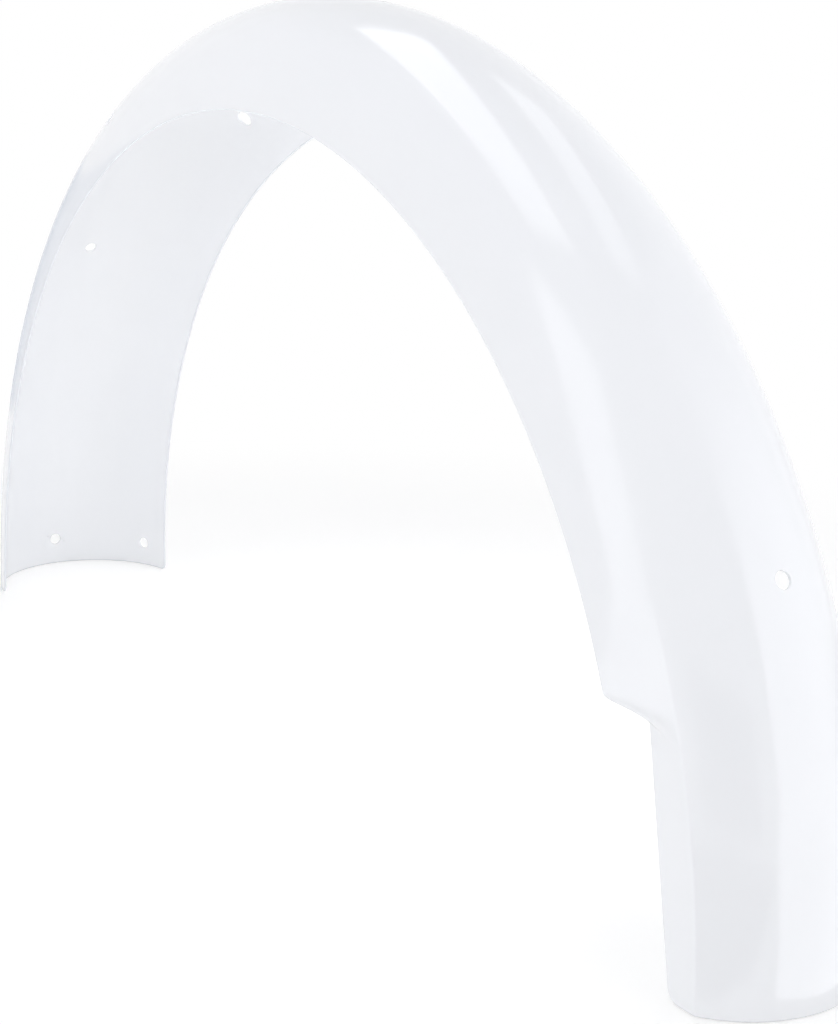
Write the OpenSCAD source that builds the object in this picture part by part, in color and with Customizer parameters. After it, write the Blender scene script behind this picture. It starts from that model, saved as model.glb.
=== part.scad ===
// Rear mudguard of a moped: one pressed steel sheet, half round in section and bent through half a turn.
// The origin is the wheel axle, in the plane of both cut ends. X runs along the machine and Z is up.
// Angles along the arc are measured from its top and grow towards the recessed end, which is at -X.

/* [Arc] */
// Radius of the crown's outside, measured from the wheel axle
crown_radius = 300; // [260:1:360]
// Thickness of the sheet with its paint
sheet = 1.2; // [0.8:0.1:2.5]
// Radius of the four rounded corners of the walls
corner_radius = 4; // [1:0.5:10]

/* [Section] */
// Width over the walls at the plain end
plain_end_width = 94; // [80:1:110]
// Width over the walls at the top of the arc
top_width = 86; // [76:1:104]
// Width over the walls just above the recess, carried on to that end
recess_end_width = 87; // [78:1:104]
// Depth from the crown to the wall's free edge at the plain end
plain_end_depth = 46; // [34:1:60]
// Depth from the crown to the wall's free edge at the top of the arc
top_depth = 44; // [34:1:60]
// Depth from the crown to the wall's free edge just above the recess, carried on to that end
recess_end_depth = 40; // [37:1:56]
// Turn of the section from crown to free edge, where 90 leaves the walls square to the crown
wall_turn = 85; // [75:1:90]

/* [Recess] */
// Height above the cut end at which the free edge starts to step inwards
recess_height = 91; // [60:1:130]
// Width over the two flat panels below the step
panel_width = 71; // [60:1:80]
// Least depth from the crown to the panel's straight free edge
panel_depth = 34; // [26:1:36]
// Lean of the panel's straight free edge from upright
panel_lean = 10; // [0:1:20]
// Length of the step along the free edge
step_length = 11; // [8:1:24]
// How much lower the step lies at the crease than at the free edge
step_slant = 10; // [0:1:20]
// Length above the step over which the round wall becomes flat
flat_lead = 28; // [10:1:60]

/* [Holes] */
// Diameter of the screw holes in the crown and low in the walls
screw_hole = 5.8; // [4:0.1:8]
// Diameter of the pair of stay holes high in the walls
stay_hole = 7.4; // [5:0.1:10]
// Height of the row of three holes above the cut plain end
low_hole_height = 14; // [9:0.5:30]
// Turn of the section at the two outer holes of that row
low_hole_turn = 64; // [45:1:70]
// Angle along the arc, from its top, to the hole above that row
middle_hole_angle = 52.5; // [40:0.5:70]
// Angle along the arc, from its top, to the stay holes
stay_hole_angle = 27.5; // [10:0.5:36]
// Turn of the section at the stay holes
stay_hole_turn = 51; // [30:1:70]
// Angle along the arc, from its top, to the hole on the recessed side
rear_hole_angle = 65; // [50:0.5:80]

/* [Hidden] */

// Divisions of the surface, across it on each side of the crown and along it
crown_steps = 9;
wall_steps = 7;
plain_steps = 46;
lead_steps = 4;
step_steps = 12;
panel_steps = 5;
corner_steps = 4;
columns = 2 * (crown_steps + wall_steps) + 1;

// Length of the cutters for the holes, well over the sheet on both sides
cutter = 8 * sheet;
cutter_sides = 32;

// Sizes at the plain end, the top and the recessed end
widths = [plain_end_width, top_width, recess_end_width];
depths = [plain_end_depth, top_depth, recess_end_depth];

// Turn of the section at the crease between the crown and the flat panel
crease_turn = asin(panel_width / recess_end_width * sin(wall_turn));

// Angles along the arc at which the wall starts to flatten, the step starts, and the step ends
edge_radius = crown_radius - recess_end_depth;
degree_length = edge_radius * PI / 180;
step_start = acos(recess_height / edge_radius);
step_turn = step_length / degree_length;
slant_turn = step_slant / degree_length;
flat_start = step_start - flat_lead / degree_length;
step_end = step_start + step_turn + slant_turn;

function mix(a, b, t) = a + (b - a) * t;
function ease(t) = let (c = min(max(t, 0), 1)) c * c * (3 - 2 * c);

// Value at an angle on the parabola through three values: at the plain end, the top and the recessed end
function along(v, angle) =
    let (t = angle / 90)
    v[0] * t * (t - 1) / 2 + v[1] * (1 - t * t) + v[2] * t * (t + 1) / 2;

// Half axes of the elliptical section, across the wheel and towards the axle
function axis_across(angle) = along(widths, angle) / 2 / sin(wall_turn);
function axis_inward(angle) = along(depths, angle) / (1 - cos(wall_turn));

// Point of the round section as [radius, distance from the middle plane]
function round_point(angle, turn) = [
    crown_radius - axis_inward(angle) * (1 - cos(turn)),
    axis_across(angle) * sin(turn)
];

// Free edge of the flat panel: a straight line, seen from the side
function panel_edge(angle) = [
    (crown_radius - panel_depth) / cos(angle - 90 + panel_lean),
    round_point(angle, crease_turn)[1]
];

// Wall from the crease at v = 0 to its free edge at v = 1: round, then flat, then stepped inwards
function wall_point(angle, v) =
    let (
        crease = round_point(angle, crease_turn),
        full = round_point(angle, mix(crease_turn, wall_turn, v)),
        flat = mix(crease, round_point(angle, wall_turn), v),
        upper = mix(full, flat, ease((angle - flat_start) / (step_start - flat_start))),
        panel = mix(crease, panel_edge(angle), v),
        late = slant_turn * (1 - v)
    )
    angle <= flat_start
        ? full
        : mix(upper, panel, ease((angle - step_start - late) / step_turn));

// Part of the wall's length that is left where its corner at a cut end is rounded off
function corner_share(angle) =
    let (
        edge = wall_point(angle, 1),
        length = norm(edge - wall_point(angle, 0)),
        rise = min(edge[0] * cos(angle), corner_radius),
        drop = corner_radius - sqrt(pow(corner_radius, 2) - pow(corner_radius - rise, 2))
    )
    1 - drop / length;

// Outside of the sheet at an angle along the arc, in a column counted from the crown towards +Y
function skin_point(angle, column) =
    let (
        step = abs(column),
        section = step <= crown_steps
            ? round_point(angle, crease_turn * step / crown_steps)
            : wall_point(angle, (step - crown_steps) / wall_steps * corner_share(angle))
    )
    [-section[0] * sin(angle), sign(column) * section[1], section[0] * cos(angle)];

// Angles from one cut end inwards, spaced evenly round the corner's quarter circle
function corner_angles(edge) = [
    for (i = [0 : corner_steps - 1]) 90 - asin(corner_radius * (1 - cos(90 * i / corner_steps)) / edge)
];
plain_corner = corner_angles(crown_radius - plain_end_depth);
recess_corner = corner_angles(panel_edge(90)[0]);
plain_corner_end = -90 + asin(corner_radius / (crown_radius - plain_end_depth));
recess_corner_end = 90 - asin(corner_radius / panel_edge(90)[0]);

stations = concat(
    [for (a = plain_corner) -a],
    [for (i = [0 : plain_steps - 1]) mix(plain_corner_end, flat_start, i / plain_steps)],
    [for (i = [0 : lead_steps - 1]) mix(flat_start, step_start, i / lead_steps)],
    [for (i = [0 : step_steps - 1]) mix(step_start, step_end, i / step_steps)],
    [for (i = [0 : panel_steps]) mix(step_end, recess_corner_end, i / panel_steps)],
    [for (i = [corner_steps - 1 : -1 : 0]) recess_corner[i]]
);
rows = len(stations);

outside = [
    for (angle = stations) [
        for (column = [0 : columns - 1]) skin_point(angle, crown_steps + wall_steps - column)
    ]
];

// Outward direction of the skin from the points around, kept level in the two cut ends
function outward(i, j) =
    let (
        along_arc = outside[min(i + 1, rows - 1)][j] - outside[max(i - 1, 0)][j],
        across = outside[i][min(j + 1, columns - 1)] - outside[i][max(j - 1, 0)],
        n = cross(along_arc, across),
        level = i == 0 || i == rows - 1 ? [n[0], n[1], 0] : n
    )
    level / norm(level);

inside = [
    for (i = [0 : rows - 1]) [
        for (j = [0 : columns - 1]) outside[i][j] - sheet * outward(i, j)
    ]
];

// Two triangles for a quad, split so that both sides of the middle plane mirror each other
function quad(a, b, c, d, mirrored) = mirrored ? [[a, b, d], [b, c, d]] : [[a, b, c], [a, c, d]];

function outer_index(i, j) = i * columns + j;
function inner_index(i, j) = (rows + i) * columns + j;

skin_faces = [
    for (i = [0 : rows - 2], j = [0 : columns - 2])
        let (mirrored = j < crown_steps + wall_steps)
        each concat(
            quad(
                outer_index(i, j), outer_index(i, j + 1),
                outer_index(i + 1, j + 1), outer_index(i + 1, j), mirrored
            ),
            quad(
                inner_index(i, j), inner_index(i + 1, j),
                inner_index(i + 1, j + 1), inner_index(i, j + 1), !mirrored
            )
        )
];
free_edge_faces = [
    for (i = [0 : rows - 2])
        each concat(
            quad(outer_index(i, 0), outer_index(i + 1, 0), inner_index(i + 1, 0), inner_index(i, 0), true),
            quad(
                outer_index(i + 1, columns - 1), outer_index(i, columns - 1),
                inner_index(i, columns - 1), inner_index(i + 1, columns - 1), false
            )
        )
];
cut_end_faces = [
    for (j = [0 : columns - 2])
        each concat(
            quad(outer_index(0, j + 1), outer_index(0, j), inner_index(0, j), inner_index(0, j + 1), false),
            quad(
                outer_index(rows - 1, j), outer_index(rows - 1, j + 1),
                inner_index(rows - 1, j + 1), inner_index(rows - 1, j), false
            )
        )
];

// The pressed sheet before it is drilled
module pressing() {
    points = [each for (row = outside) row, each for (row = inside) row];
    polyhedron(points = points, faces = concat(skin_faces, free_edge_faces, cut_end_faces), convexity = 6);
}

// Cutter square to the sheet, at an angle along the arc and a turn of the section
module drill(angle, turn, diameter) {
    place = round_point(angle, turn);
    tilt = atan2(axis_inward(angle) * sin(turn), axis_across(angle) * cos(turn));
    rotate([0, -angle, 0])
        translate([0, place[1], place[0]])
            rotate([-tilt, 0, 0])
                cylinder(d = diameter, h = cutter, center = true, $fn = cutter_sides);
}

module mudguard() {
    low_row = -acos(low_hole_height / crown_radius);
    color("ghostwhite")
        difference() {
            pressing();
            for (turn = [-low_hole_turn, 0, low_hole_turn]) drill(low_row, turn, screw_hole);
            drill(-middle_hole_angle, 0, screw_hole);
            for (turn = [-stay_hole_turn, stay_hole_turn]) drill(-stay_hole_angle, turn, stay_hole);
            drill(rear_hole_angle, 0, screw_hole);
        }
}

mudguard();
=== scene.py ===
"""Looks of the moped rear mudguard: one pressed and painted sheet with its floor, lamps and camera.

The sheet repeats the surface of the CAD source on a finer grid, with the small roundings of its edges,
holes and creases. Lengths are in millimetres until the mesh is made, and angles in degrees.
"""

import math

import bpy
import numpy as np
from mathutils import Matrix, Vector


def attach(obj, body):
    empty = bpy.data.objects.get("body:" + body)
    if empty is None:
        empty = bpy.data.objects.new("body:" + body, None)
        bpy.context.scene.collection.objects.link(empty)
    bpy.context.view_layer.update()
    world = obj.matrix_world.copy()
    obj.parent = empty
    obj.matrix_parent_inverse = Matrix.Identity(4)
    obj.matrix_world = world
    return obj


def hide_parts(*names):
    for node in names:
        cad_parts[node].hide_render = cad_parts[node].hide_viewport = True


MM = 0.001

# Sizes of the pressing, the same as in the CAD source
CROWN_RADIUS = 300.0
SHEET = 1.2
CORNER_RADIUS = 4.0
WIDTHS = (94.0, 86.0, 87.0)
DEPTHS = (46.0, 44.0, 40.0)
WALL_TURN = 85.0
RECESS_HEIGHT = 91.0
PANEL_WIDTH = 71.0
PANEL_DEPTH = 34.0
PANEL_LEAN = 10.0
STEP_LENGTH = 11.0
STEP_SLANT = 10.0
FLAT_LEAD = 28.0

# Holes as angle along the arc, turn of the section, and diameter
SCREW_HOLE = 5.8
STAY_HOLE = 7.4
LOW_HOLE_HEIGHT = 14.0
LOW_ROW = -math.degrees(math.acos(LOW_HOLE_HEIGHT / CROWN_RADIUS))
HOLES = (
    (LOW_ROW, -64.0, SCREW_HOLE),
    (LOW_ROW, 0.0, SCREW_HOLE),
    (LOW_ROW, 64.0, SCREW_HOLE),
    (-52.5, 0.0, SCREW_HOLE),
    (-27.5, -51.0, STAY_HOLE),
    (-27.5, 51.0, STAY_HOLE),
    (65.0, 0.0, SCREW_HOLE),
)

# Roundings of the borders, the holes and the crease, and how far the surface stays inside the CAD box
EDGE_ROUND = 0.5
HOLE_ROUND = 0.3
CREASE_BLEND = 1.0
BLEND_SAMPLES = 5
PAINT_INSET = 0.02

# Height above a cut end below which the sheet's outward directions turn level
LEVEL_HEIGHT = 3.0

# Distances from the border between which the painted shade along the rim ends, outside and inside
RIM_SHADE_OUTSIDE = (0.15, 0.5)
RIM_SHADE_INSIDE = (0.3, 0.8)

# Nominal length of the section from the crown's middle to the crease
CROWN_SPAN = 45.0

# Grid lines: distances from the crease, from the free edge and from a cut end
CREASE_LINES = (0.3, 0.6, 0.95, 1.4, 2.1, 3.2)
EDGE_LINES = (4.0, 2.8, 1.7, 1.0, 0.62, 0.5, 0.35, 0.2, 0.08, 0.0)
END_LINES = (0.0, 0.03, 0.1, 0.2, 0.33, 0.5, 0.62, 0.9, 1.25, 1.65, 2.18, 2.76, 3.37, 4.0)

# Grid lines spaced evenly over half the crown and over the wall, and degrees between the grid's rows on
# the arc, on the step and on the panel
CROWN_LINES = 21
WALL_LINES = 5
ARC_STEP = 0.62
STEP_STEP = 0.2
PANEL_STEP = 0.5

# Rings round a hole: points of each, distances of the outer ones from its rounding, steps of the
# rounding, and the margin of the block of the grid that is left out for them
RING_POINTS = 56
RING_MARGINS = (2.2, 1.1, 0.5)
ROUND_STEPS = 4
BLOCK_MARGIN = 3.0
RING_TURNS = np.arange(RING_POINTS) * 2 * math.pi / RING_POINTS

# Gaps for directions by difference, along the arc and across it, and for placing the rings
TURN_GAP = 0.02
REACH_GAP = 0.05
RING_GAP = 0.01
RING_ROUNDS = 4

# Paint: places on the ramp with their linear colours, from the painted shade of the rim to the clearest
# spots
PAINT_TONES = (
    (0.0, (0.735, 0.748, 0.775, 1.0)),
    (0.05, (0.848, 0.856, 0.869, 1.0)),
    (0.7, (0.866, 0.873, 0.886, 1.0)),
)
PAINT_IOR = 1.5

# Noises of the paint as scale and detail: its cloudiness, its uneven gloss and its orange peel
CLOUD = (14.0, 3.0)
GLOSS = (60.0, 2.0)
PEEL = (320.0, 1.0)
GLOSS_RANGE = (0.3, 0.7)
ROUGHNESS_RANGE = (0.10, 0.15)
PEEL_STRENGTH = 0.25
PEEL_HEIGHT = 0.00003

# Floor: tone, glow added for the eye, and distances between which it fades to white, in metres
FLOOR_SIZE = 12.0
FLOOR_TONE = (0.928, 0.92, 0.9, 1.0)
FLOOR_LIFT = 0.22
FLOOR_FADE = (0.34, 0.62)

# Studio: colour of all its light, and the fill's level at the horizon, above, and the rise between
LIGHT_TINT = (0.991, 1.0, 1.032)
FILL_AT_HORIZON = 2.36
FILL_ABOVE = 0.28
FILL_RISE = 0.5

# Softboxes, in metres and degrees: name, centre, turn about the upright, tip from facing down, roll, width,
# height, and radiance as its value low down, its value high up and the share that is left at the far side.
# The paint mirrors those of the first list, and those of the second light it softly.
MIRRORED_LAMPS = (
    ("top_box", (0.519, 0.271, 1.8), 142.5, 0.0, 0.0, 1.88, 0.61, (1.67, 1.67, 1.0)),
    ("top_strip", (-0.057, -0.563, 1.8), 153.9, 0.0, 0.0, 1.48, 0.39, (1.0, 1.0, 1.0)),
    ("left_box", (-0.25, 2.0, 1.0), 180.0, 90.0, 0.0, 0.86, 2.0, (1.4, 1.4, 1.0)),
    ("left_card", (-0.076, 1.27, 0.004), -18.7, 180.0, 0.0, 0.45, 1.6, (1.3, 1.3, 1.0)),
    ("right_box", (-0.75, -1.711, 1.316), -55.0, 90.0, -8.0, 3.6, 3.45, (1.72, 0.48, 0.25)),
    ("right_card", (-1.102, -0.466, 0.004), 180.0, 180.0, 0.0, 1.597, 0.967, (1.65, 1.65, 1.0)),
)
SOFT_LAMPS = (
    ("top_soft", (0.0, 0.0, 1.8), 0.0, 0.0, 0.0, 1.5, 1.5, (2.2, 2.2, 1.0)),
    ("left_soft", (-0.174, 1.992, 1.0), 185.0, 90.0, 0.0, 1.6, 2.0, (0.64, 0.64, 1.0)),
    ("right_soft", (-1.379, -1.157, 1.3), -50.0, 90.0, 0.0, 2.4, 2.6, (0.37, 0.37, 1.0)),
    ("front_soft", (-1.732, 1.0, 0.8), 240.0, 90.0, 0.0, 1.6, 1.6, (0.13, 0.13, 1.0)),
    ("far_soft", (0.347, -1.97, 1.0), 10.0, 90.0, 0.0, 1.6, 2.0, (0.86, 0.86, 1.0)),
)

# Shares of a softbox's height between which its radiance goes from the low value to the high one, and
# shares of its width between which it falls to what is left at the far side
HEIGHT_GRADE = (0.18, 0.7)
WIDTH_GRADE = (0.28, 0.72)

# Round lamps in the wheel's place: name, centre, radius, radiance.
# They stand for the light that a white studio throws up inside.
INNER_LAMPS = (
    ("inner_top", (-0.03, 0.02, 0.15), 0.03, 9.3),
    ("inner_low", (0.1, 0.05, 0.05), 0.04, 0.5),
)

# Grey screens that only the gloss mirrors: name, centre, turn, tip from level, width, height, tone
SCREENS = (
    ("far_screen", (0.9, 0.18, 0.14), 90.0, 90.0, 0.6, 0.27, (0.62, 0.67, 0.75, 1.0)),
    ("camera_screen", (-0.75, 0.36, 0.12), 55.0, 90.0, 0.5, 0.23, (0.1, 0.1, 0.1, 1.0)),
    ("floor_screen", (-0.4525, 0.17, 0.003), 0.0, 0.0, 0.335, 0.265, (0.05, 0.05, 0.05, 1.0)),
)

# Camera: place in units of the crown's radius, angles in degrees, focal length in pixels of the frame
FRAME_HEIGHT = 1024
SENSOR = 36.0
FOCAL_PIXELS = 1830.54
CAMERA_TURN = 33.14018
CAMERA_DIP = 13.32625
CAMERA_ROLL = 0.83047
CAMERA_TARGET = (-0.2487, -0.00089, 0.35506)
CAMERA_DISTANCE = 2.34819
CLIP_START = 0.01


def mix(a, b, t):
    return a + (b - a) * t


def ease(t):
    c = np.clip(t, 0.0, 1.0)
    return c * c * (3.0 - 2.0 * c)


def sin_d(angle):
    return np.sin(np.radians(angle))


def cos_d(angle):
    return np.cos(np.radians(angle))


CREASE_TURN = math.degrees(math.asin(PANEL_WIDTH / WIDTHS[2] * sin_d(WALL_TURN)))
EDGE_RADIUS = CROWN_RADIUS - DEPTHS[2]
DEGREE_LENGTH = math.radians(EDGE_RADIUS)
STEP_START = math.degrees(math.acos(RECESS_HEIGHT / EDGE_RADIUS))
STEP_TURN = STEP_LENGTH / DEGREE_LENGTH
SLANT_TURN = STEP_SLANT / DEGREE_LENGTH
FLAT_START = STEP_START - FLAT_LEAD / DEGREE_LENGTH
STEP_END = STEP_START + STEP_TURN + SLANT_TURN


def along(values, angle):
    """Value on the parabola through the plain end, the top and the recessed end."""
    t = angle / 90.0
    return values[0] * t * (t - 1) / 2 + values[1] * (1 - t * t) + values[2] * t * (t + 1) / 2


def round_point(angle, turn):
    """Radius and distance from the middle plane of the round section."""
    across = along(WIDTHS, angle) / 2 / sin_d(WALL_TURN)
    inward = along(DEPTHS, angle) / (1 - cos_d(WALL_TURN))
    return np.stack([CROWN_RADIUS - inward * (1 - cos_d(turn)), across * sin_d(turn)], -1)


def panel_edge(angle):
    """Straight free edge of the flat panel."""
    radius = (CROWN_RADIUS - PANEL_DEPTH) / cos_d(angle - 90.0 + PANEL_LEAN)
    return np.stack([radius, round_point(angle, CREASE_TURN)[..., 1]], -1)


def wall_point(angle, v):
    """Wall from the crease to its free edge: round, then flat, then stepped inwards."""
    share = v[..., None]
    crease = round_point(angle, CREASE_TURN)
    full = round_point(angle, mix(CREASE_TURN, WALL_TURN, v))
    flat = mix(crease, round_point(angle, WALL_TURN), share)
    flatness = ease((angle - FLAT_START) / (STEP_START - FLAT_START))[..., None]
    panel = mix(crease, panel_edge(np.maximum(angle, STEP_START)), share)
    stepped = ease((angle - STEP_START - SLANT_TURN * (1 - v)) / STEP_TURN)[..., None]
    return mix(mix(full, flat, flatness), panel, stepped)


def wall_length(angle):
    one = np.ones_like(angle)
    return np.linalg.norm(wall_point(angle, one) - wall_point(angle, 0 * one), axis=-1)


def sharp_surface(angle, reach):
    """Outside of the sheet at a signed reach across it, counted from the crown's middle."""
    beyond = np.abs(reach) - CROWN_SPAN
    crown = round_point(angle, CREASE_TURN * np.abs(reach) / CROWN_SPAN)
    wall = wall_point(angle, np.maximum(beyond, 0.0) / wall_length(angle))
    section = np.where((beyond <= 0)[..., None], crown, wall)
    return np.stack(
        [
            -section[..., 0] * sin_d(angle),
            np.sign(reach) * section[..., 1],
            section[..., 0] * cos_d(angle),
        ],
        -1,
    )


def surface(angle, reach):
    """The same surface with the crease blended by a short weighted mean across it."""
    angle, reach = np.broadcast_arrays(angle, reach)
    points = sharp_surface(angle, reach)
    near = np.abs(np.abs(reach) - CROWN_SPAN) < 2 * CREASE_BLEND
    if near.any():
        total = 0.0
        blended = 0.0
        for k in range(1 - BLEND_SAMPLES, BLEND_SAMPLES):
            weight = BLEND_SAMPLES - abs(k)
            shift = CREASE_BLEND * k / BLEND_SAMPLES
            blended = blended + weight * sharp_surface(angle[near], reach[near] + shift)
            total += weight
        points[near] = blended / total
    return points


def basis(angle, reach):
    """Unit directions across the sheet, outwards, and the square one, at points of the surface."""
    across = surface(angle, reach + REACH_GAP) - surface(angle, reach - REACH_GAP)
    forward = surface(angle + TURN_GAP, reach) - surface(angle - TURN_GAP, reach)
    outward = np.cross(across, forward)
    outward /= np.linalg.norm(outward, axis=-1, keepdims=True)
    height = np.abs(surface(angle, reach)[..., 2])
    outward[..., 2] *= ease(height / LEVEL_HEIGHT)
    outward /= np.linalg.norm(outward, axis=-1, keepdims=True)
    across /= np.linalg.norm(across, axis=-1, keepdims=True)
    return across, outward, np.cross(outward, across)


def sheet_point(angle, reach, depth):
    """Point of the sheet at a depth below its outside."""
    outward = basis(angle, reach)[1]
    inset = np.maximum(depth, PAINT_INSET)
    return surface(angle, reach) - inset[..., None] * outward


def round_depth(distance, radius):
    """How far a rounded edge drops below the face at a distance from the border."""
    short = radius - np.minimum(distance, radius)
    return radius - np.sqrt(radius * radius - short * short)


def end_drop(height):
    """Wall length that the rounded corner takes away at a height above the cut end."""
    short = CORNER_RADIUS - np.minimum(height, CORNER_RADIUS)
    return CORNER_RADIUS - np.sqrt(CORNER_RADIUS**2 - short * short)


def arc_stations():
    """Angles of the grid rows and the height of each above its cut end at the free edge."""
    plain_edge = CROWN_RADIUS - DEPTHS[0]
    recess_edge = float(panel_edge(np.array(90.0))[0])
    plain = [-90.0 + math.degrees(math.asin(h / plain_edge)) for h in END_LINES]
    recess = [90.0 - math.degrees(math.asin(h / recess_edge)) for h in reversed(END_LINES)]
    marks = (plain[-1], FLAT_START, STEP_END, recess[0])
    steps = (ARC_STEP, STEP_STEP, PANEL_STEP)
    middle = []
    for low, high, step in zip(marks, marks[1:], steps):
        count = math.ceil((high - low) / step)
        middle += [mix(low, high, i / count) for i in range(count)]
    angles = np.array(plain[:-1] + middle + recess)
    edges = np.where(angles < 0, plain_edge, recess_edge)
    return angles, edges * np.abs(cos_d(angles))


def reach_lines(angles, heights):
    """Signed reach of every grid column for each row."""
    length = wall_length(angles)
    end = length - end_drop(heights)
    crown_end = CROWN_SPAN - CREASE_LINES[-1]
    crown = [np.full_like(angles, crown_end * i / CROWN_LINES) for i in range(CROWN_LINES + 1)]
    crown += [np.full_like(angles, CROWN_SPAN - d) for d in reversed(CREASE_LINES[:-1])]
    crown += [np.full_like(angles, CROWN_SPAN)]
    wall = [np.full_like(angles, CROWN_SPAN + d) for d in CREASE_LINES]
    first, last = wall[-1], CROWN_SPAN + end - EDGE_LINES[0]
    wall += [mix(first, last, i / WALL_LINES) for i in range(1, WALL_LINES)]
    wall += [CROWN_SPAN + end - d for d in EDGE_LINES]
    half = np.stack(crown[1:] + wall, -1)
    return np.concatenate([-half[:, ::-1], np.zeros((len(angles), 1)), half], 1)


def border_distance(angles, heights, reach):
    """Distance of each grid point from the sheet's border, the rounded corner included."""
    edge = CROWN_SPAN + wall_length(angles)[:, None] - np.abs(reach)
    rise = np.abs(surface(angles[:, None] + 0 * reach, reach)[..., 2])
    inner_edge = np.maximum(CORNER_RADIUS - edge, 0.0)
    inner_rise = np.maximum(CORNER_RADIUS - rise, 0.0)
    in_corner = (inner_edge > 0) & (inner_rise > 0)
    corner = CORNER_RADIUS - np.hypot(inner_edge, inner_rise)
    return np.maximum(np.where(in_corner, corner, np.minimum(edge, rise)), 0.0)


class Shell:
    """Vertices and faces of the sheet while it is put together."""

    def __init__(self):
        self.parts = []
        self.rim_shades = []
        self.count = 0
        self.faces = []

    def add(self, points, rim_shade=0.0):
        """Adds points with their share of the painted shade of the rim, and returns their indices in the
        same order.
        """
        flat = points.reshape(-1, 3)
        self.parts.append(flat)
        self.rim_shades.append(np.broadcast_to(rim_shade, points.shape[:-1]).ravel())
        first = self.count
        self.count += len(flat)
        return np.arange(first, self.count).reshape(points.shape[:-1])

    def quads(self, a, b, c, d):
        self.faces += np.stack([a, b, c, d], -1).reshape(-1, 4).tolist()

    def ring(self, upper, lower):
        """Quads between two closed rings of as many points."""
        self.quads(upper, np.roll(upper, -1), np.roll(lower, -1), lower)

    def stitch(self, upper, upper_turn, lower, lower_turn):
        """Triangles between two closed loops with different numbers of points."""
        first, second = np.argsort(upper_turn), np.argsort(lower_turn)
        a, a_turn = upper[first], upper_turn[first]
        b, b_turn = lower[second], lower_turn[second]
        a, a_turn = np.append(a, a[0]), np.append(a_turn, a_turn[0] + 2 * math.pi)
        b, b_turn = np.append(b, b[0]), np.append(b_turn, b_turn[0] + 2 * math.pi)
        i = j = 0
        while i < len(a) - 1 or j < len(b) - 1:
            take_a = j == len(b) - 1 or (i < len(a) - 1 and a_turn[i + 1] <= b_turn[j + 1])
            if take_a:
                self.faces.append([int(a[i]), int(a[i + 1]), int(b[j])])
                i += 1
            else:
                self.faces.append([int(a[i]), int(b[j + 1]), int(b[j])])
                j += 1


class Bore:
    """One hole, square to the sheet, with its place in the grid."""

    def __init__(self, angle, turn, diameter):
        self.radius = diameter / 2
        self.angle = np.array(float(angle))
        size = abs(turn)
        if size <= CREASE_TURN:
            reach = CROWN_SPAN * size / CREASE_TURN
        else:
            share = (size - CREASE_TURN) / (WALL_TURN - CREASE_TURN)
            reach = CROWN_SPAN + share * float(wall_length(self.angle))
        self.reach = np.array(math.copysign(reach, turn))
        self.centre = surface(self.angle, self.reach)
        self.across, self.outward, self.square = basis(self.angle, self.reach)

    def flat(self, points):
        """Places of points in the plane of the hole."""
        offset = points - self.centre
        return np.stack([offset @ self.across, offset @ self.square], -1)

    def circles(self, radii, depths):
        """Grid coordinates and points of circles round the hole at depths in the sheet."""
        radii, depths = np.array(radii)[:, None, None], np.array(depths)[:, None]
        target = radii * np.stack([np.cos(RING_TURNS), np.sin(RING_TURNS)], -1)
        below = depths + 0 * RING_TURNS
        angle, reach = self.angle + 0 * below, self.reach + 0 * below
        for _ in range(RING_ROUNDS):
            here = self.flat(sheet_point(angle, reach, below))
            d_angle = (self.flat(sheet_point(angle + RING_GAP, reach, below)) - here) / RING_GAP
            d_reach = (self.flat(sheet_point(angle, reach + RING_GAP, below)) - here) / RING_GAP
            jacobian = np.stack([d_angle, d_reach], -1)
            move = np.linalg.solve(jacobian, (target - here)[..., None])[..., 0]
            angle, reach = angle + move[..., 0], reach + move[..., 1]
        return angle, reach, sheet_point(angle, reach, below)

    def block(self, angles, reach):
        """Rows and columns of the grid lines that enclose the hole."""
        angle, across, _ = self.circles([self.radius + BLOCK_MARGIN], [0.0])
        top = int(np.searchsorted(angles, angle.min())) - 1
        bottom = int(np.searchsorted(angles, angle.max()))
        lowest = reach[top : bottom + 1].max(0)
        highest = reach[top : bottom + 1].min(0)
        left = int(np.nonzero(lowest <= across.min())[0][-1])
        right = int(np.nonzero(highest >= across.max())[0][0])
        return top, bottom, left, right

    def rings(self):
        """Radius and depth of each ring from the outside through the bore to the inside."""
        outer = [(self.radius + HOLE_ROUND + m, 0.0) for m in RING_MARGINS]
        rounding = []
        for k in range(ROUND_STEPS + 1):
            turn = math.radians(90.0 * k / ROUND_STEPS)
            radius = self.radius + HOLE_ROUND * (1 - math.sin(turn))
            rounding.append((radius, HOLE_ROUND * (1 - math.cos(turn))))
        half = outer + rounding
        return half + [(radius, SHEET - depth) for radius, depth in reversed(half)]


def loop_of(block, grid):
    """Vertices on the border of a block of the grid, all the way round."""
    top, bottom, left, right = block
    return np.concatenate(
        [
            grid[top, left:right],
            grid[top:bottom, right],
            grid[bottom, right:left:-1],
            grid[bottom:top:-1, left],
        ]
    )


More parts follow.
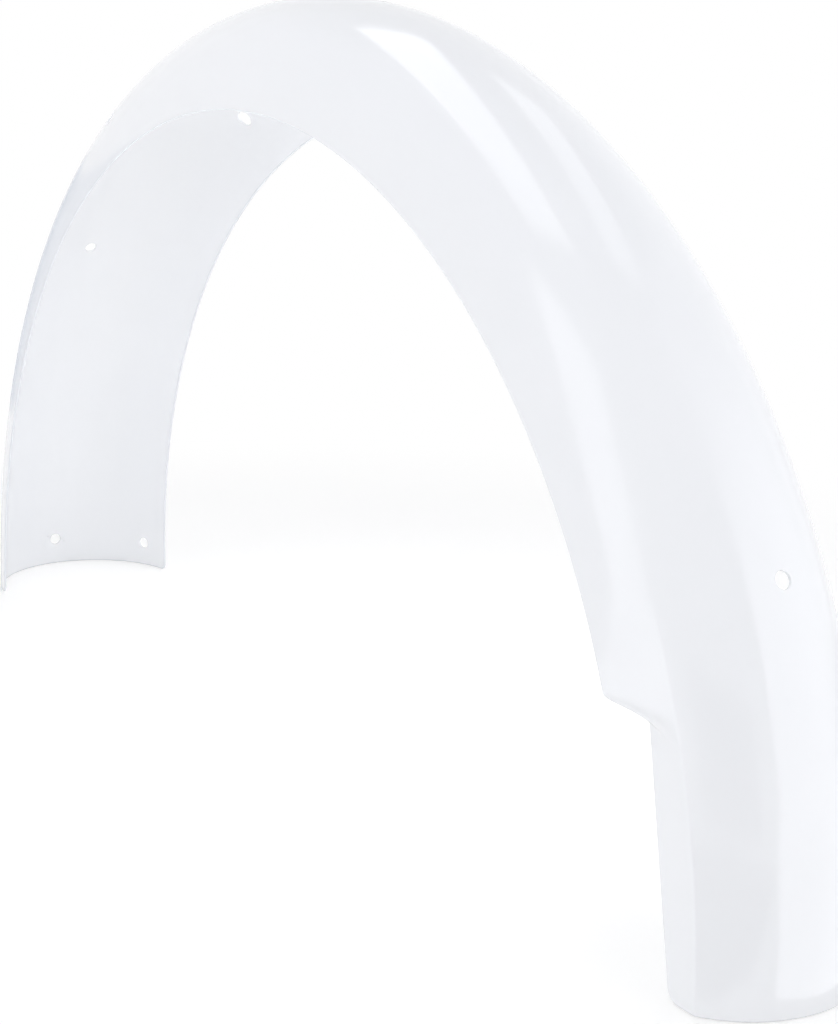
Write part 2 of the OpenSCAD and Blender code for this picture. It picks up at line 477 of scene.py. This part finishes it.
def build_sheet():
    """The whole pressed sheet as points in millimetres, faces, and the share of painted rim shade at each
    point.
    """
    shell = Shell()
    angles, heights = arc_stations()
    reach = reach_lines(angles, heights)
    angle_grid = angles[:, None] + 0 * reach
    border = border_distance(angles, heights, reach)
    drop = round_depth(border, EDGE_ROUND)
    # Painted shade along the border, outside and inside: the share is 1 at the rim and fades to 0 further
    # in
    rim_shades = [1.0 - ease((border - core) / (end - core)) for core, end in (RIM_SHADE_OUTSIDE, RIM_SHADE_INSIDE)]
    outer_points = sheet_point(angle_grid, reach, drop)
    inner_points = sheet_point(angle_grid, reach, SHEET - drop)
    for points in (outer_points, inner_points):
        points[0, :, 2] = points[-1, :, 2] = 0.0
    outer, inner = shell.add(outer_points, rim_shades[0]), shell.add(inner_points, rim_shades[1])

    keep = np.ones((len(angles) - 1, reach.shape[1] - 1), bool)
    bores = [Bore(*hole) for hole in HOLES]
    blocks = [bore.block(angles, reach) for bore in bores]
    for top, bottom, left, right in blocks:
        keep[top:bottom, left:right] = False
    rows, columns = np.nonzero(keep)
    shell.quads(
        outer[rows, columns],
        outer[rows, columns + 1],
        outer[rows + 1, columns + 1],
        outer[rows + 1, columns],
    )
    shell.quads(
        inner[rows, columns],
        inner[rows + 1, columns],
        inner[rows + 1, columns + 1],
        inner[rows, columns + 1],
    )
    shell.quads(outer[1:, 0], inner[1:, 0], inner[:-1, 0], outer[:-1, 0])
    shell.quads(outer[:-1, -1], inner[:-1, -1], inner[1:, -1], outer[1:, -1])
    shell.quads(outer[0, :-1], inner[0, :-1], inner[0, 1:], outer[0, 1:])
    shell.quads(outer[-1, 1:], inner[-1, 1:], inner[-1, :-1], outer[-1, :-1])

    for bore, block in zip(bores, blocks):
        rings = shell.add(bore.circles(*zip(*bore.rings()))[2])
        for upper, lower in zip(rings, rings[1:]):
            shell.ring(upper, lower)
        loops = []
        for grid, points in ((outer, outer_points), (inner, inner_points)):
            loop = loop_of(block, grid)
            place = bore.flat(points.reshape(-1, 3)[loop - grid[0, 0]])
            loops.append((loop, np.arctan2(place[:, 1], place[:, 0]) % (2 * math.pi)))
        shell.stitch(*loops[0], rings[0], RING_TURNS)
        shell.stitch(rings[-1], RING_TURNS, *loops[1])
    return np.concatenate(shell.parts), shell.faces, np.concatenate(shell.rim_shades)


def emptied_tree(owner):
    """Nodes and links of the emptied node tree of a material, a lamp or the world."""
    owner.use_nodes = True
    owner.node_tree.nodes.clear()
    return owner.node_tree.nodes, owner.node_tree.links


def add_object(name, data):
    obj = bpy.data.objects.new(name, data)
    bpy.context.scene.collection.objects.link(obj)
    return obj


def add_rectangle(name, width, height, material):
    """Level rectangle round the origin, in metres."""
    mesh = bpy.data.meshes.new(name)
    corners = [(x * width / 2, y * height / 2, 0) for x, y in ((-1, -1), (1, -1), (1, 1), (-1, 1))]
    mesh.from_pydata(corners, [], [(0, 1, 2, 3)])
    mesh.materials.append(material)
    return add_object(name, mesh)


def paint_noise(nodes, links, scale, detail):
    """Value of a noise that is fixed to the sheet."""
    place = nodes.new("ShaderNodeTexCoord")
    noise = nodes.new("ShaderNodeTexNoise")
    noise.inputs["Scale"].default_value = scale
    noise.inputs["Detail"].default_value = detail
    links.new(place.outputs["Object"], noise.inputs["Vector"])
    return noise.outputs["Fac"]


def paint_material():
    """Gloss white paint on pressed steel: faint cloudiness, faint orange peel, uneven gloss, and painted
    shade along the rims.
    """
    material = bpy.data.materials.new("white_paint")
    nodes, links = emptied_tree(material)
    output = nodes.new("ShaderNodeOutputMaterial")
    shader = nodes.new("ShaderNodeBsdfPrincipled")
    shader.inputs["IOR"].default_value = PAINT_IOR
    links.new(shader.outputs["BSDF"], output.inputs["Surface"])

    # The rim's share of painted shade is taken off the cloudiness, so that the ramp turns the rims darker
    rim_shade = nodes.new("ShaderNodeAttribute")
    rim_shade.attribute_name = "rim_shade"
    rim_shaded = nodes.new("ShaderNodeMath")
    rim_shaded.operation = "SUBTRACT"
    links.new(paint_noise(nodes, links, *CLOUD), rim_shaded.inputs[0])
    links.new(rim_shade.outputs["Fac"], rim_shaded.inputs[1])
    tint = nodes.new("ShaderNodeValToRGB")
    ramp = tint.color_ramp.elements
    for k, (position, tone) in enumerate(PAINT_TONES):
        stop = ramp[k] if k < len(ramp) else ramp.new(position)
        stop.position = position
        stop.color = tone
    links.new(rim_shaded.outputs[0], tint.inputs["Fac"])
    links.new(tint.outputs["Color"], shader.inputs["Base Color"])

    spread = nodes.new("ShaderNodeMapRange")
    spread.inputs["From Min"].default_value, spread.inputs["From Max"].default_value = GLOSS_RANGE
    spread.inputs["To Min"].default_value, spread.inputs["To Max"].default_value = ROUGHNESS_RANGE
    links.new(paint_noise(nodes, links, *GLOSS), spread.inputs["Value"])
    links.new(spread.outputs["Result"], shader.inputs["Roughness"])

    bump = nodes.new("ShaderNodeBump")
    bump.inputs["Strength"].default_value = PEEL_STRENGTH
    bump.inputs["Distance"].default_value = PEEL_HEIGHT
    links.new(paint_noise(nodes, links, *PEEL), bump.inputs["Height"])
    links.new(bump.outputs["Normal"], shader.inputs["Normal"])
    return material


def turned(turn, tip, roll=0.0):
    """Rotation by a roll about Z, a tip about X and a turn about Z, in that order."""
    return (
        Matrix.Rotation(math.radians(turn), 4, "Z")
        @ Matrix.Rotation(math.radians(tip), 4, "X")
        @ Matrix.Rotation(math.radians(roll), 4, "Z")
    )


def grade_lamp(lamp, radiance):
    """Sets a softbox's radiance, graded over its height and its width."""
    low, high, far_share = radiance
    nodes, links = emptied_tree(lamp)
    output = nodes.new("ShaderNodeOutputLight")
    glow = nodes.new("ShaderNodeEmission")
    links.new(glow.outputs[0], output.inputs["Surface"])
    place = nodes.new("ShaderNodeNewGeometry")
    parts = nodes.new("ShaderNodeSeparateXYZ")
    links.new(place.outputs["Parametric"], parts.inputs[0])
    product = nodes.new("ShaderNodeMath")
    product.operation = "MULTIPLY"
    grades = (("Y", HEIGHT_GRADE, (low, high)), ("X", WIDTH_GRADE, (1.0, far_share)))
    for k, (axis, shares, values) in enumerate(grades):
        level = nodes.new("ShaderNodeMapRange")
        level.interpolation_type = "SMOOTHSTEP"
        level.inputs["From Min"].default_value, level.inputs["From Max"].default_value = shares
        level.inputs["To Min"].default_value, level.inputs["To Max"].default_value = values
        links.new(parts.outputs[axis], level.inputs["Value"])
        links.new(level.outputs["Result"], product.inputs[k])
    links.new(product.outputs[0], glow.inputs["Strength"])


def softbox(mirrored, name, centre, turn, tip, roll, width, height, radiance):
    """Rectangular softbox that is either only mirrored or only gives soft light."""
    data = bpy.data.lights.new(name, "AREA")
    data.shape = "RECTANGLE"
    data.size = width
    data.size_y = height
    data.energy = math.pi * width * height
    data.color = LIGHT_TINT
    grade_lamp(data, radiance)
    obj = add_object(name, data)
    obj.matrix_world = Matrix.Translation(centre) @ turned(turn, tip, roll)
    obj.visible_camera = False
    obj.visible_diffuse = not mirrored
    obj.visible_glossy = mirrored


def round_lamp(name, centre, radius, radiance):
    """Round lamp of a given radiance that gives light but shows nowhere."""
    data = bpy.data.lights.new(name, "POINT")
    data.shadow_soft_size = radius
    data.energy = radiance * 4 * math.pi**2 * radius**2
    data.color = LIGHT_TINT
    obj = add_object(name, data)
    obj.location = centre
    obj.visible_camera = False
    obj.visible_glossy = False


def screen(name, centre, turn, tip, width, height, tone):
    """Grey screen that neither lights the object nor shades it."""
    material = bpy.data.materials.new(name)
    nodes, links = emptied_tree(material)
    output = nodes.new("ShaderNodeOutputMaterial")
    glow = nodes.new("ShaderNodeEmission")
    glow.inputs["Color"].default_value = tone
    links.new(glow.outputs[0], output.inputs["Surface"])
    obj = add_rectangle(name, width, height, material)
    obj.matrix_world = Matrix.Translation(centre) @ turned(turn, tip)
    obj.visible_camera = False
    obj.visible_diffuse = False
    obj.visible_shadow = False


def seen_ray(nodes, links):
    """1 for camera, glossy and transmission rays, else 0."""
    path = nodes.new("ShaderNodeLightPath")
    first = nodes.new("ShaderNodeMath")
    first.operation = "MAXIMUM"
    links.new(path.outputs["Is Camera Ray"], first.inputs[0])
    links.new(path.outputs["Is Glossy Ray"], first.inputs[1])
    second = nodes.new("ShaderNodeMath")
    second.operation = "MAXIMUM"
    links.new(first.outputs[0], second.inputs[0])
    links.new(path.outputs["Is Transmission Ray"], second.inputs[1])
    return second.outputs[0]


def build_world():
    """White to the eye and in reflections, a plain fill for everything else, stronger low down."""
    world = bpy.data.worlds.new("studio")
    nodes, links = emptied_tree(world)
    output = nodes.new("ShaderNodeOutputWorld")
    white = nodes.new("ShaderNodeBackground")
    white.inputs["Color"].default_value = (1.0, 1.0, 1.0, 1.0)
    fill = nodes.new("ShaderNodeBackground")
    fill.inputs["Color"].default_value = (*LIGHT_TINT, 1.0)
    direction = nodes.new("ShaderNodeTexCoord")
    parts = nodes.new("ShaderNodeSeparateXYZ")
    level = nodes.new("ShaderNodeMapRange")
    level.inputs["From Max"].default_value = FILL_RISE
    level.inputs["To Min"].default_value = FILL_AT_HORIZON
    level.inputs["To Max"].default_value = FILL_ABOVE
    links.new(direction.outputs["Generated"], parts.inputs[0])
    links.new(parts.outputs["Z"], level.inputs["Value"])
    links.new(level.outputs["Result"], fill.inputs["Strength"])
    choose = nodes.new("ShaderNodeMixShader")
    links.new(seen_ray(nodes, links), choose.inputs[0])
    links.new(fill.outputs[0], choose.inputs[1])
    links.new(white.outputs[0], choose.inputs[2])
    links.new(choose.outputs[0], output.inputs["Surface"])
    bpy.context.scene.world = world


def build_floor():
    """Pale plain floor that keeps the shadow round the object and fades to white further off."""
    material = bpy.data.materials.new("floor_white")
    nodes, links = emptied_tree(material)
    output = nodes.new("ShaderNodeOutputMaterial")
    matt = nodes.new("ShaderNodeBsdfDiffuse")
    matt.inputs["Color"].default_value = FLOOR_TONE
    lift = nodes.new("ShaderNodeEmission")
    lift.inputs["Strength"].default_value = FLOOR_LIFT
    lifted = nodes.new("ShaderNodeAddShader")
    links.new(matt.outputs[0], lifted.inputs[0])
    links.new(lift.outputs[0], lifted.inputs[1])
    place = nodes.new("ShaderNodeTexCoord")
    away = nodes.new("ShaderNodeVectorMath")
    away.operation = "LENGTH"
    links.new(place.outputs["Object"], away.inputs[0])
    fade = nodes.new("ShaderNodeMapRange")
    fade.interpolation_type = "SMOOTHSTEP"
    fade.inputs["From Min"].default_value, fade.inputs["From Max"].default_value = FLOOR_FADE
    links.new(away.outputs["Value"], fade.inputs["Value"])
    white = nodes.new("ShaderNodeEmission")
    seen = nodes.new("ShaderNodeMixShader")
    links.new(fade.outputs["Result"], seen.inputs[0])
    links.new(lifted.outputs[0], seen.inputs[1])
    links.new(white.outputs[0], seen.inputs[2])
    choose = nodes.new("ShaderNodeMixShader")
    links.new(seen_ray(nodes, links), choose.inputs[0])
    links.new(matt.outputs[0], choose.inputs[1])
    links.new(seen.outputs[0], choose.inputs[2])
    links.new(choose.outputs[0], output.inputs["Surface"])
    floor = add_rectangle("floor", FLOOR_SIZE, FLOOR_SIZE, material)


def build_camera():
    """Camera of the photo, found from the outlines in it."""
    turn, dip, roll = (math.radians(v) for v in (CAMERA_TURN, CAMERA_DIP, CAMERA_ROLL))
    ahead = Vector(
        (math.cos(turn) * math.cos(dip), -math.sin(turn) * math.cos(dip), -math.sin(dip))
    )
    right = Vector((-math.sin(turn), -math.cos(turn), 0.0))
    up = right.cross(ahead)
    rolled_right = math.cos(roll) * right + math.sin(roll) * up
    rolled_up = -math.sin(roll) * right + math.cos(roll) * up
    unit = CROWN_RADIUS * MM
    place = (Vector(CAMERA_TARGET) - CAMERA_DISTANCE * ahead) * unit
    data = bpy.data.cameras.new("camera")
    data.sensor_width = SENSOR
    data.lens = FOCAL_PIXELS * SENSOR / FRAME_HEIGHT
    data.clip_start = CLIP_START
    camera = add_object("camera", data)
    axes = Matrix((rolled_right, rolled_up, -ahead)).transposed().to_4x4()
    camera.matrix_world = Matrix.Translation(place) @ axes
    bpy.context.scene.camera = camera


def add_sheet():
    """The painted sheet, in the place of its CAD node."""
    points, faces, rim_shade = build_sheet()
    mesh = bpy.data.meshes.new("mudguard_sheet")
    mesh.from_pydata((points * MM).tolist(), [], faces)
    mesh.polygons.foreach_set("use_smooth", [True] * len(mesh.polygons))
    # The share of painted rim shade goes to the paint as a point attribute
    mesh.attributes.new("rim_shade", "FLOAT", "POINT").data.foreach_set("value", rim_shade.astype(np.float32))
    mesh.validate()
    mesh.update()
    mesh.materials.append(paint_material())
    sheet = add_object("mudguard_sheet", mesh)
    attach(sheet, "root")
    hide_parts("mudguard")


def plain(box):
    """A box as plain lists of numbers."""
    return [[float(value) for value in corner] for corner in box]


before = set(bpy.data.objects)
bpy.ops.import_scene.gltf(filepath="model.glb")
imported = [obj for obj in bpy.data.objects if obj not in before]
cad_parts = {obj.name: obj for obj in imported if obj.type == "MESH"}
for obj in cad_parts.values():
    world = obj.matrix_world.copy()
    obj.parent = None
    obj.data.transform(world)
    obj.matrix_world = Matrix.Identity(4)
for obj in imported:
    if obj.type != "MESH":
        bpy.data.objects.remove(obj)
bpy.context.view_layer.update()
add_sheet()
build_floor()
build_world()
for settings in MIRRORED_LAMPS:
    softbox(True, *settings)
for settings in SOFT_LAMPS:
    softbox(False, *settings)
for settings in INNER_LAMPS:
    round_lamp(*settings)
for settings in SCREENS:
    screen(*settings)
build_camera()
bpy.context.scene.view_settings.view_transform = "Standard"
